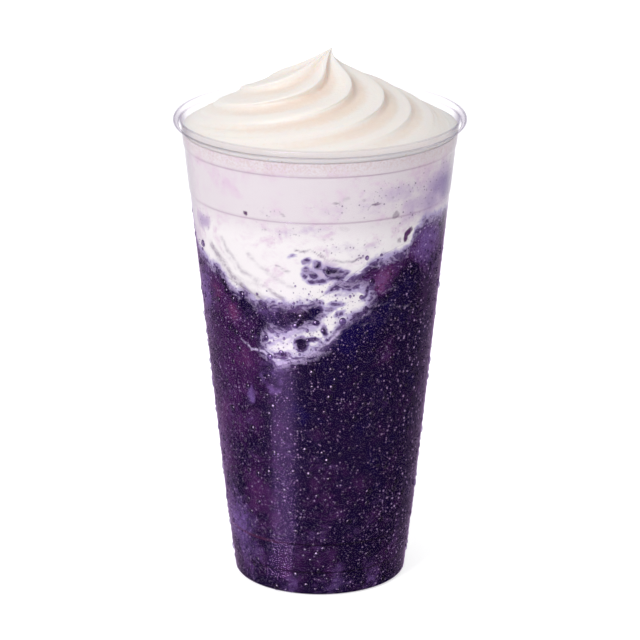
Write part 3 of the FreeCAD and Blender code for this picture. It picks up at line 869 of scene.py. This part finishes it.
class AddCup(bpy.types.Operator):
    """Turn the clear cup with its rolled lip, shoulders and push-up base"""

    bl_idname = "dirty_soda.cup"
    bl_label = "Cup"

    def execute(self, context):
        cup = settings().cup
        outline = base_outline(cup, 0)
        outline += self.wall(cup, 0)
        middle = lip_middle(cup)
        start = math.pi - cup.draft
        outline += arc_points(middle, lip_reach(cup, 0), start, -cup.curl_end, 24)[1:]
        end = arc_points(middle, cup.curl_radius - cup.wall / 2, start, -cup.curl_end, 1)[-1]
        outline += arc_points(end, cup.wall / 2, math.pi - cup.curl_end, -cup.curl_end, 5)[1:-1]
        outline += arc_points(middle, cup.curl_radius, -cup.curl_end, start, 30)
        inside = base_outline(cup, cup.wall) + self.wall(cup, cup.wall)
        outline += inside[-2::-1]
        mesh = spun("cup", outline, cup.around)
        add_piece("clear_cup", mesh, plastic_material(cup), "cup", slot="clear_plastic")
        return {"FINISHED"}

    def wall(self, cup, inset):
        low = base_outline(cup, inset)[-1][1]
        top = wall_top(cup, inset)[1]
        heights = wall_heights(cup, low, top, 3 * MM)[1:]
        return [(float(wall_radius(cup, height, inset)), height) for height in heights]


class AddDrink(bpy.types.Operator):
    """Fill the cup with soda and the milk foam on it, marbled where they meet"""

    bl_idname = "dirty_soda.drink"
    bl_label = "Drink and foam"

    inset_share = 0.55
    around = 480
    spacing = 0.5 * MM

    def execute(self, context):
        soda = settings()
        inset = soda.cup.wall * self.inset_share
        base = base_outline(soda.cup, inset)
        low = base[-1][1]
        marbled = 62 * MM
        middle = soda.drink.height
        top = soda.cup.height - soda.foam.drop - soda.foam.edge
        heights = wall_heights(soda.cup, low, marbled, 2.5 * MM)[1:]
        heights += wall_heights(soda.cup, marbled, middle, self.spacing)[1:]
        rim = float(wall_radius(soda.cup, middle, inset))
        across = [(rim * step / 24, middle) for step in range(23, -1, -1)]
        side = [(float(wall_radius(soda.cup, height, inset)), height) for height in heights]
        mesh = spun("drink", base + side + across, self.around)
        self.bend(soda, mesh, inset, marbled, middle, middle)
        set_attributes(mesh, marbling(points_of(mesh)))
        material = drink_material("purple_soda", soda.drink, soda.foam)
        add_piece("purple_soda", mesh, material, "drink", slot="purple_soda")

        heights = wall_heights(soda.cup, middle, top, self.spacing)
        side = [(float(wall_radius(soda.cup, height, inset)), height) for height in heights]
        under = [(rim * step / 24, middle) for step in range(24)]
        rim = side[-1][0]
        over = [(rim * step / 24, top) for step in range(23, -1, -1)]
        mesh = spun("cream_layer", under + side + over, self.around)
        self.bend(soda, mesh, inset, middle, middle, top)
        set_attributes(mesh, marbling(points_of(mesh)))
        material = drink_material("milk_foam", soda.drink, soda.foam)
        add_piece("milk_foam", mesh, material, "cream_layer", slot="milk_foam")
        return {"FINISHED"}

    def bend(self, soda, mesh, inset, low, middle, high):
        """Lift or sink the flat boundary at a height to the wavy one, and stretch the wall's points after it."""
        points = points_of(mesh)
        x, y, height = points.T
        reach = np.hypot(x, y)
        turn = np.arctan2(y, x)
        wavy = drink_top(soda.drink, soda.cup.rim_radius, x, y)
        if high > middle:
            stretch = np.clip((high - height) / (high - middle), 0, 1)
        else:
            stretch = np.clip((height - low) / (middle - low), 0, 1)
        new_height = height + (wavy - middle) * stretch
        old_wall = wall_radius(soda.cup, height, inset)
        new_wall = wall_radius(soda.cup, new_height, inset)
        scale = np.where(height > low - 1e-9, new_wall / old_wall, 1.0)
        reach = reach * scale
        move_points(mesh, np.column_stack((reach * np.cos(turn), reach * np.sin(turn), new_height)))


class AddWhippedCream(bpy.types.Operator):
    """Pipe the swirl of whipped cream: ridges that turn and shrink up to a drawn-out tip"""

    bl_idname = "dirty_soda.whipped_cream"
    bl_label = "Whipped cream"

    # What brings the ridges' share of their depth to 1 where it is greatest, a third of the way out.
    deepest = 6.75

    def execute(self, context):
        soda = settings()
        cream = soda.cream
        edge = soda.cup.height - soda.foam.drop
        bottom = edge - soda.foam.edge
        edge_radius = float(wall_radius(soda.cup, edge, soda.cup.wall)) - cream.clearance
        foot = float(wall_radius(soda.cup, bottom, soda.cup.wall)) - cream.clearance
        outline = [(foot * step / 12, bottom) for step in range(13)]
        shares = [(1 - step / cream.rings) ** 1.2 for step in range(cream.rings + 1)]
        outline += [(edge_radius * share, edge + 1 * MM * (1 - share)) for share in shares]
        mesh = spun("whipped_cream", outline, cream.around)
        points = points_of(mesh)
        upper = points[:, 2] > edge - 1e-7
        moved, fold = self.swirl(cream, points[upper], edge, edge_radius)
        points[upper] = moved
        # The foot turns as far as the ridges do where they meet the wall.
        turn = Matrix.Rotation(cream.first_ridge - cream.twist, 3, "Z")
        points[~upper] = points[~upper] @ np.array(turn).T
        folds = np.zeros(len(points))
        folds[upper] = fold
        move_points(mesh, points)
        set_attributes(mesh, {"fold": folds})
        add_piece("whipped_cream_swirl", mesh, cream_material(cream), "whipped_cream", slot="whipped_cream")
        return {"FINISHED"}

    def swirl(self, cream, points, edge, edge_radius):
        """Lift flat rings into the swirl, and say how deep down between the ridges each point lies, for the painted
        shade there.
        """
        radius = np.hypot(points[:, 0], points[:, 1])
        turn = np.arctan2(points[:, 1], points[:, 0])
        share = np.clip(radius / edge_radius, 0, 1)
        rise = cream.peak_height + settings().foam.drop - cream.peak_sharpness
        height = edge + rise * (1 - share**cream.roundness)
        height += cream.peak_sharpness * np.exp(-radius / cream.peak_reach)
        depth = cream.ridge_depth * self.deepest * share * (1 - share) ** 2
        angle = turn + cream.first_ridge - cream.twist * share**cream.twist_growth
        fade = 1 - cream.ridge_fade * (1 - np.cos(angle - cream.fade_angle)) / 2
        along = cream.ridge_count * turn
        wander = wandering(points * [1, 1, 0], 26, 5)
        along = along + 0.9 * wander[:, 0] * share
        depth = depth * (1 + 0.7 * wander[:, 1])
        ridge = np.cos(along + cream.ridge_sharpness * np.sin(along))
        fine = np.cos(3 * along + 0.6) * 0.09 * share * (1 - share) * 4
        reach = radius + depth * fade * (ridge + fine)
        leaning = cream.peak_shift * np.exp(-radius / cream.peak_shift_reach)
        middle = (leaning + cream.swirl_shift) * (1 - share)
        ripple = wandering(points * [1, 1, 0], 7, 6)[:, 2] * cream.waver * 4 * share * (1 - share)
        moved = np.column_stack((middle + reach * np.cos(angle), reach * np.sin(angle), height + ripple))
        fold = np.clip(-ridge, 0, 1) * fade * 4 * share * (1 - share)
        return moved, fold


class AddDrops(bpy.types.Operator):
    """Scatter drops of condensation over the outside of the cup: a few large, many small and a fine mist"""

    bl_idname = "dirty_soda.drops"
    bl_label = "Drops"

    # Name, number of drops, smallest and largest radius in millimetres, sides and rings of a drop.
    kinds = (
        ("drops_large", 1000, 0.5, 1.35, 9, 3),
        ("drops_small", 4200, 0.24, 0.48, 6, 2),
        ("drops_mist", 9000, 0.11, 0.22, 5, 1),
    )

    def execute(self, context):
        soda = settings()
        chance = np.random.default_rng(soda.water.seed)
        material = water_material(soda.water)
        taken = {}
        for name, number, smallest, largest, sides, rings in self.kinds:
            dome = self.dome(sides, rings)
            drops = self.scatter(soda, chance, taken, number, smallest * MM, largest * MM)
            mesh = self.copies(soda, chance, name, dome, drops)
            add_piece(name, mesh, material)
        return {"FINISHED"}

    def dome(self, sides, rings):
        """A drop of radius 1 standing on a flat foot at height 0."""
        bm = bmesh.new()
        bmesh.ops.create_uvsphere(bm, u_segments=sides, v_segments=rings * 2 + 1, radius=1)
        everything = bm.verts[:] + bm.edges[:] + bm.faces[:]
        cut = bmesh.ops.bisect_plane(
            bm, geom=everything, plane_co=(0, 0, 0.1), plane_no=(0, 0, 1), clear_inner=True
        )
        rim = [edge for edge in cut["geom_cut"] if isinstance(edge, bmesh.types.BMEdge)]
        bmesh.ops.contextual_create(bm, geom=rim)
        bmesh.ops.triangulate(bm, faces=bm.faces)
        bmesh.ops.recalc_face_normals(bm, faces=bm.faces)
        mesh = bpy.data.meshes.new("drop")
        bm.to_mesh(mesh)
        bm.free()
        return mesh

    def scatter(self, soda, chance, taken, number, smallest, largest):
        """Places and radii of drops that don't touch: small ones are the commonest."""
        cell = 2 * MM
        drops = []
        tries = 0
        while len(drops) < number and tries < number * 8:
            tries += 1
            radius = smallest + (largest - smallest) * chance.random() ** 2.2
            turn = chance.uniform(-math.pi, math.pi)
            height = 1.5 * MM + chance.random() * 136 * MM
            right = 0.5 - 0.5 * math.cos(turn - math.radians(-20))
            top = soda.water.top + min(22 * MM * right, 11 * MM) + 6 * MM * math.sin(3 * turn)
            if height > top + chance.normal(0, 3 * MM):
                continue
            place = (turn * float(wall_radius(soda.cup, height)), height)
            key = (int(place[0] // cell), int(place[1] // cell))
            near = [drop for i in (-1, 0, 1) for j in (-1, 0, 1) for drop in taken.get((key[0] + i, key[1] + j), ())]
            if any(math.hypot(place[0] - x, place[1] - y) < (radius + r) * 1.1 for x, y, r in near):
                continue
            taken.setdefault(key, []).append((*place, radius))
            drops.append((turn, height, radius))
        return drops

    def copies(self, soda, chance, name, dome, drops):
        """One mesh of all the drops: each copy of the dome stretched a little and set on the wall."""
        turn, height, radius = np.array(drops).T
        reach = wall_radius(soda.cup, height) - soda.water.sink
        draft = soda.cup.draft
        out = np.column_stack((np.sin(turn) * math.cos(draft), -np.cos(turn) * math.cos(draft),
                               np.full(len(turn), -math.sin(draft))))
        beside = np.column_stack((np.cos(turn), np.sin(turn), np.zeros(len(turn))))
        upward = np.cross(out, beside)
        place = np.column_stack((reach * np.sin(turn), -reach * np.cos(turn), height))
        stretch = chance.uniform(0.9, 1.15, len(turn))
        tall = chance.uniform(0.4, 0.5, len(turn))
        shape = points_of(dome)
        sag = 0.16 * shape[:, 2]
        x = shape[None, :, 0] / stretch[:, None]
        y = shape[None, :, 1] * stretch[:, None] - sag[None, :]
        z = (shape[None, :, 2] - shape[:, 2].min()) * tall[:, None]
        points = place[:, None, :] + radius[:, None, None] * (
            x[..., None] * beside[:, None, :] + y[..., None] * upward[:, None, :] + z[..., None] * out[:, None, :]
        )
        corners = np.empty(len(dome.loops), dtype=np.int64)
        dome.loops.foreach_get("vertex_index", corners)
        starts = np.arange(len(drops)) * len(shape)
        corners = (corners[None, :] + starts[:, None]).ravel()
        mesh = bpy.data.meshes.new(name)
        mesh.vertices.add(points.shape[0] * points.shape[1])
        mesh.vertices.foreach_set("co", points.ravel())
        mesh.loops.add(len(corners))
        mesh.loops.foreach_set("vertex_index", corners)
        faces = len(corners) // 3
        mesh.polygons.add(faces)
        mesh.polygons.foreach_set("loop_start", np.arange(faces) * 3)
        mesh.polygons.foreach_set("use_smooth", np.ones(faces, dtype=bool))
        mesh.update(calc_edges=True)
        return mesh


class AddStage(bpy.types.Operator):
    """Lay the pale floor and set up the lights and the camera"""

    bl_idname = "dirty_soda.stage"
    bl_label = "Stage"

    def execute(self, context):
        stage = settings().stage
        self.floor(stage)
        self.card(stage)
        self.world(stage)
        self.light("key", stage.key_power, (-0.62, -0.9, 0.95), (0, 0, 0.1), 0.5, 0.5)
        wet = [bpy.data.objects[kind[0]] for kind in AddDrops.kinds]
        self.light("glint", stage.glint_power, (-0.5, -1.0, 0.3), (0, 0, 0.07), 0.4, 0.4, wet)
        self.light("low_glint", stage.glint_power * 0.06, (0.6, -0.8, 0.05), (0, 0, 0.08), 0.3, 0.3, wet)
        self.light("fill", stage.key_power * 0.12, (0.9, -0.7, 0.6), (0, 0, 0.1), 0.6, 0.6)
        camera = bpy.data.cameras.new("camera")
        camera.lens = stage.lens
        camera.sensor_width = 36
        camera.clip_start = 0.01
        seat = bpy.data.objects.new("camera", camera)
        seat.location = stage.camera_place
        seat.rotation_euler = self.aim(stage.camera_place, stage.camera_target)
        bpy.context.scene.collection.objects.link(seat)
        scene = bpy.context.scene
        scene.camera = seat
        scene.view_settings.view_transform = "Standard"
        return {"FINISHED"}

    def aim(self, place, target):
        return (Vector(target) - Vector(place)).to_track_quat("-Z", "Y").to_euler()

    def light(self, name, power, place, target, width, height, only=()):
        """A soft rectangular lamp. It may light only some pieces, such as the drops it glints in."""
        lamp = bpy.data.lights.new(name, "AREA")
        lamp.shape = "RECTANGLE"
        lamp.size = width
        lamp.size_y = height
        lamp.energy = power
        holder = bpy.data.objects.new(name, lamp)
        holder.location = place
        holder.rotation_euler = self.aim(place, target)
        bpy.context.scene.collection.objects.link(holder)
        if only:
            lit = bpy.data.collections.new(f"{name}_lit")
            for piece in only:
                lit.objects.link(piece)
            holder.light_linking.receiver_collection = lit

    def card(self, stage):
        """A bright patch of floor at the left front, seen only as the sheen it makes on the wall."""
        bm = bmesh.new()
        bmesh.ops.create_grid(bm, x_segments=1, y_segments=8, size=0.5)
        for corner in bm.verts:
            near = 0.5 - corner.co.y
            reach = 0.036 + 0.18 * near
            corner.co = (corner.co.x * reach * stage.sheen_width, -reach, 0.0004)
        mesh = bpy.data.meshes.new("sheen_card")
        bm.to_mesh(mesh)
        bm.free()
        material, tree, output = new_material("sheen")
        glow = add_node(tree, "ShaderNodeEmission", {"Color": stage.sheen, "Strength": stage.sheen_power})
        tree.links.new(glow.outputs[0], output.inputs["Surface"])
        mesh.materials.append(material)
        card = bpy.data.objects.new("sheen_card", mesh)
        card.rotation_euler = (0, 0, stage.sheen_angle)
        card.visible_camera = False
        card.visible_diffuse = False
        card.visible_transmission = False
        card.visible_shadow = False
        bpy.context.scene.collection.objects.link(card)

    def seen(self, tree):
        """1 for a ray that should see the white surroundings themselves."""
        path = add_node(tree, "ShaderNodeLightPath")
        seen = maths(tree, "MAXIMUM", path.outputs["Is Camera Ray"], path.outputs["Is Glossy Ray"])
        return maths(tree, "MAXIMUM", seen, path.outputs["Is Transmission Ray"])

    def floor(self, stage):
        bm = bmesh.new()
        bmesh.ops.create_grid(bm, x_segments=1, y_segments=1, size=6)
        mesh = bpy.data.meshes.new("floor")
        bm.to_mesh(mesh)
        bm.free()
        material, tree, output = new_material("pale_floor")
        diffuse = add_node(tree, "ShaderNodeBsdfDiffuse", {"Color": stage.floor})
        glow = add_node(tree, "ShaderNodeEmission", {"Color": (1, 1, 1), "Strength": 0.62})
        both = add_node(tree, "ShaderNodeAddShader")
        tree.links.new(diffuse.outputs[0], both.inputs[0])
        tree.links.new(glow.outputs[0], both.inputs[1])
        mix = add_node(tree, "ShaderNodeMixShader")
        tree.links.new(self.seen(tree), mix.inputs[0])
        tree.links.new(diffuse.outputs[0], mix.inputs[1])
        tree.links.new(both.outputs[0], mix.inputs[2])
        tree.links.new(mix.outputs[0], output.inputs["Surface"])
        mesh.materials.append(material)
        floor = bpy.data.objects.new("floor", mesh)
        bpy.context.scene.collection.objects.link(floor)

    def world(self, stage):
        world = bpy.data.worlds.new("studio")
        world.use_nodes = True
        tree = world.node_tree
        tree.nodes.clear()
        output = tree.nodes.new("ShaderNodeOutputWorld")
        level = add_node(tree, "ShaderNodeMapRange")
        feed(tree, level.inputs["Value"], self.seen(tree))
        feed(tree, level.inputs["To Min"], stage.sky)
        background = add_node(tree, "ShaderNodeBackground", {"Strength": level.outputs["Result"]})
        background.inputs["Color"].default_value = (1, 1, 1, 1)
        tree.links.new(background.outputs[0], output.inputs["Surface"])
        bpy.context.scene.world = world


class SodaPanel(bpy.types.Panel):
    """The soda's pieces, in the order they are made"""

    bl_idname = "VIEW3D_PT_dirty_soda"
    bl_label = "Dirty Soda"
    bl_space_type = "VIEW_3D"
    bl_region_type = "UI"
    bl_category = "Dirty Soda"

    def draw(self, context):
        for operator in OPERATORS:
            self.layout.operator(operator.bl_idname)


GROUPS = (CupSettings, DrinkSettings, FoamSettings, CreamSettings, WaterSettings, StageSettings, SodaSettings)
OPERATORS = (AddCup, AddDrink, AddWhippedCream, AddDrops, AddStage)


def register():
    for item in (*GROUPS, *OPERATORS, SodaPanel):
        bpy.utils.register_class(item)
    bpy.types.Scene.dirty_soda = PointerProperty(type=SodaSettings)


def unregister():
    del bpy.types.Scene.dirty_soda
    for item in reversed((*GROUPS, *OPERATORS, SodaPanel)):
        bpy.utils.unregister_class(item)


def main():
    register()
    bpy.ops.dirty_soda.cup()
    bpy.ops.dirty_soda.drink()
    bpy.ops.dirty_soda.whipped_cream()
    bpy.ops.dirty_soda.drops()
    bpy.ops.dirty_soda.stage()


if __name__ == "__main__":
    main()
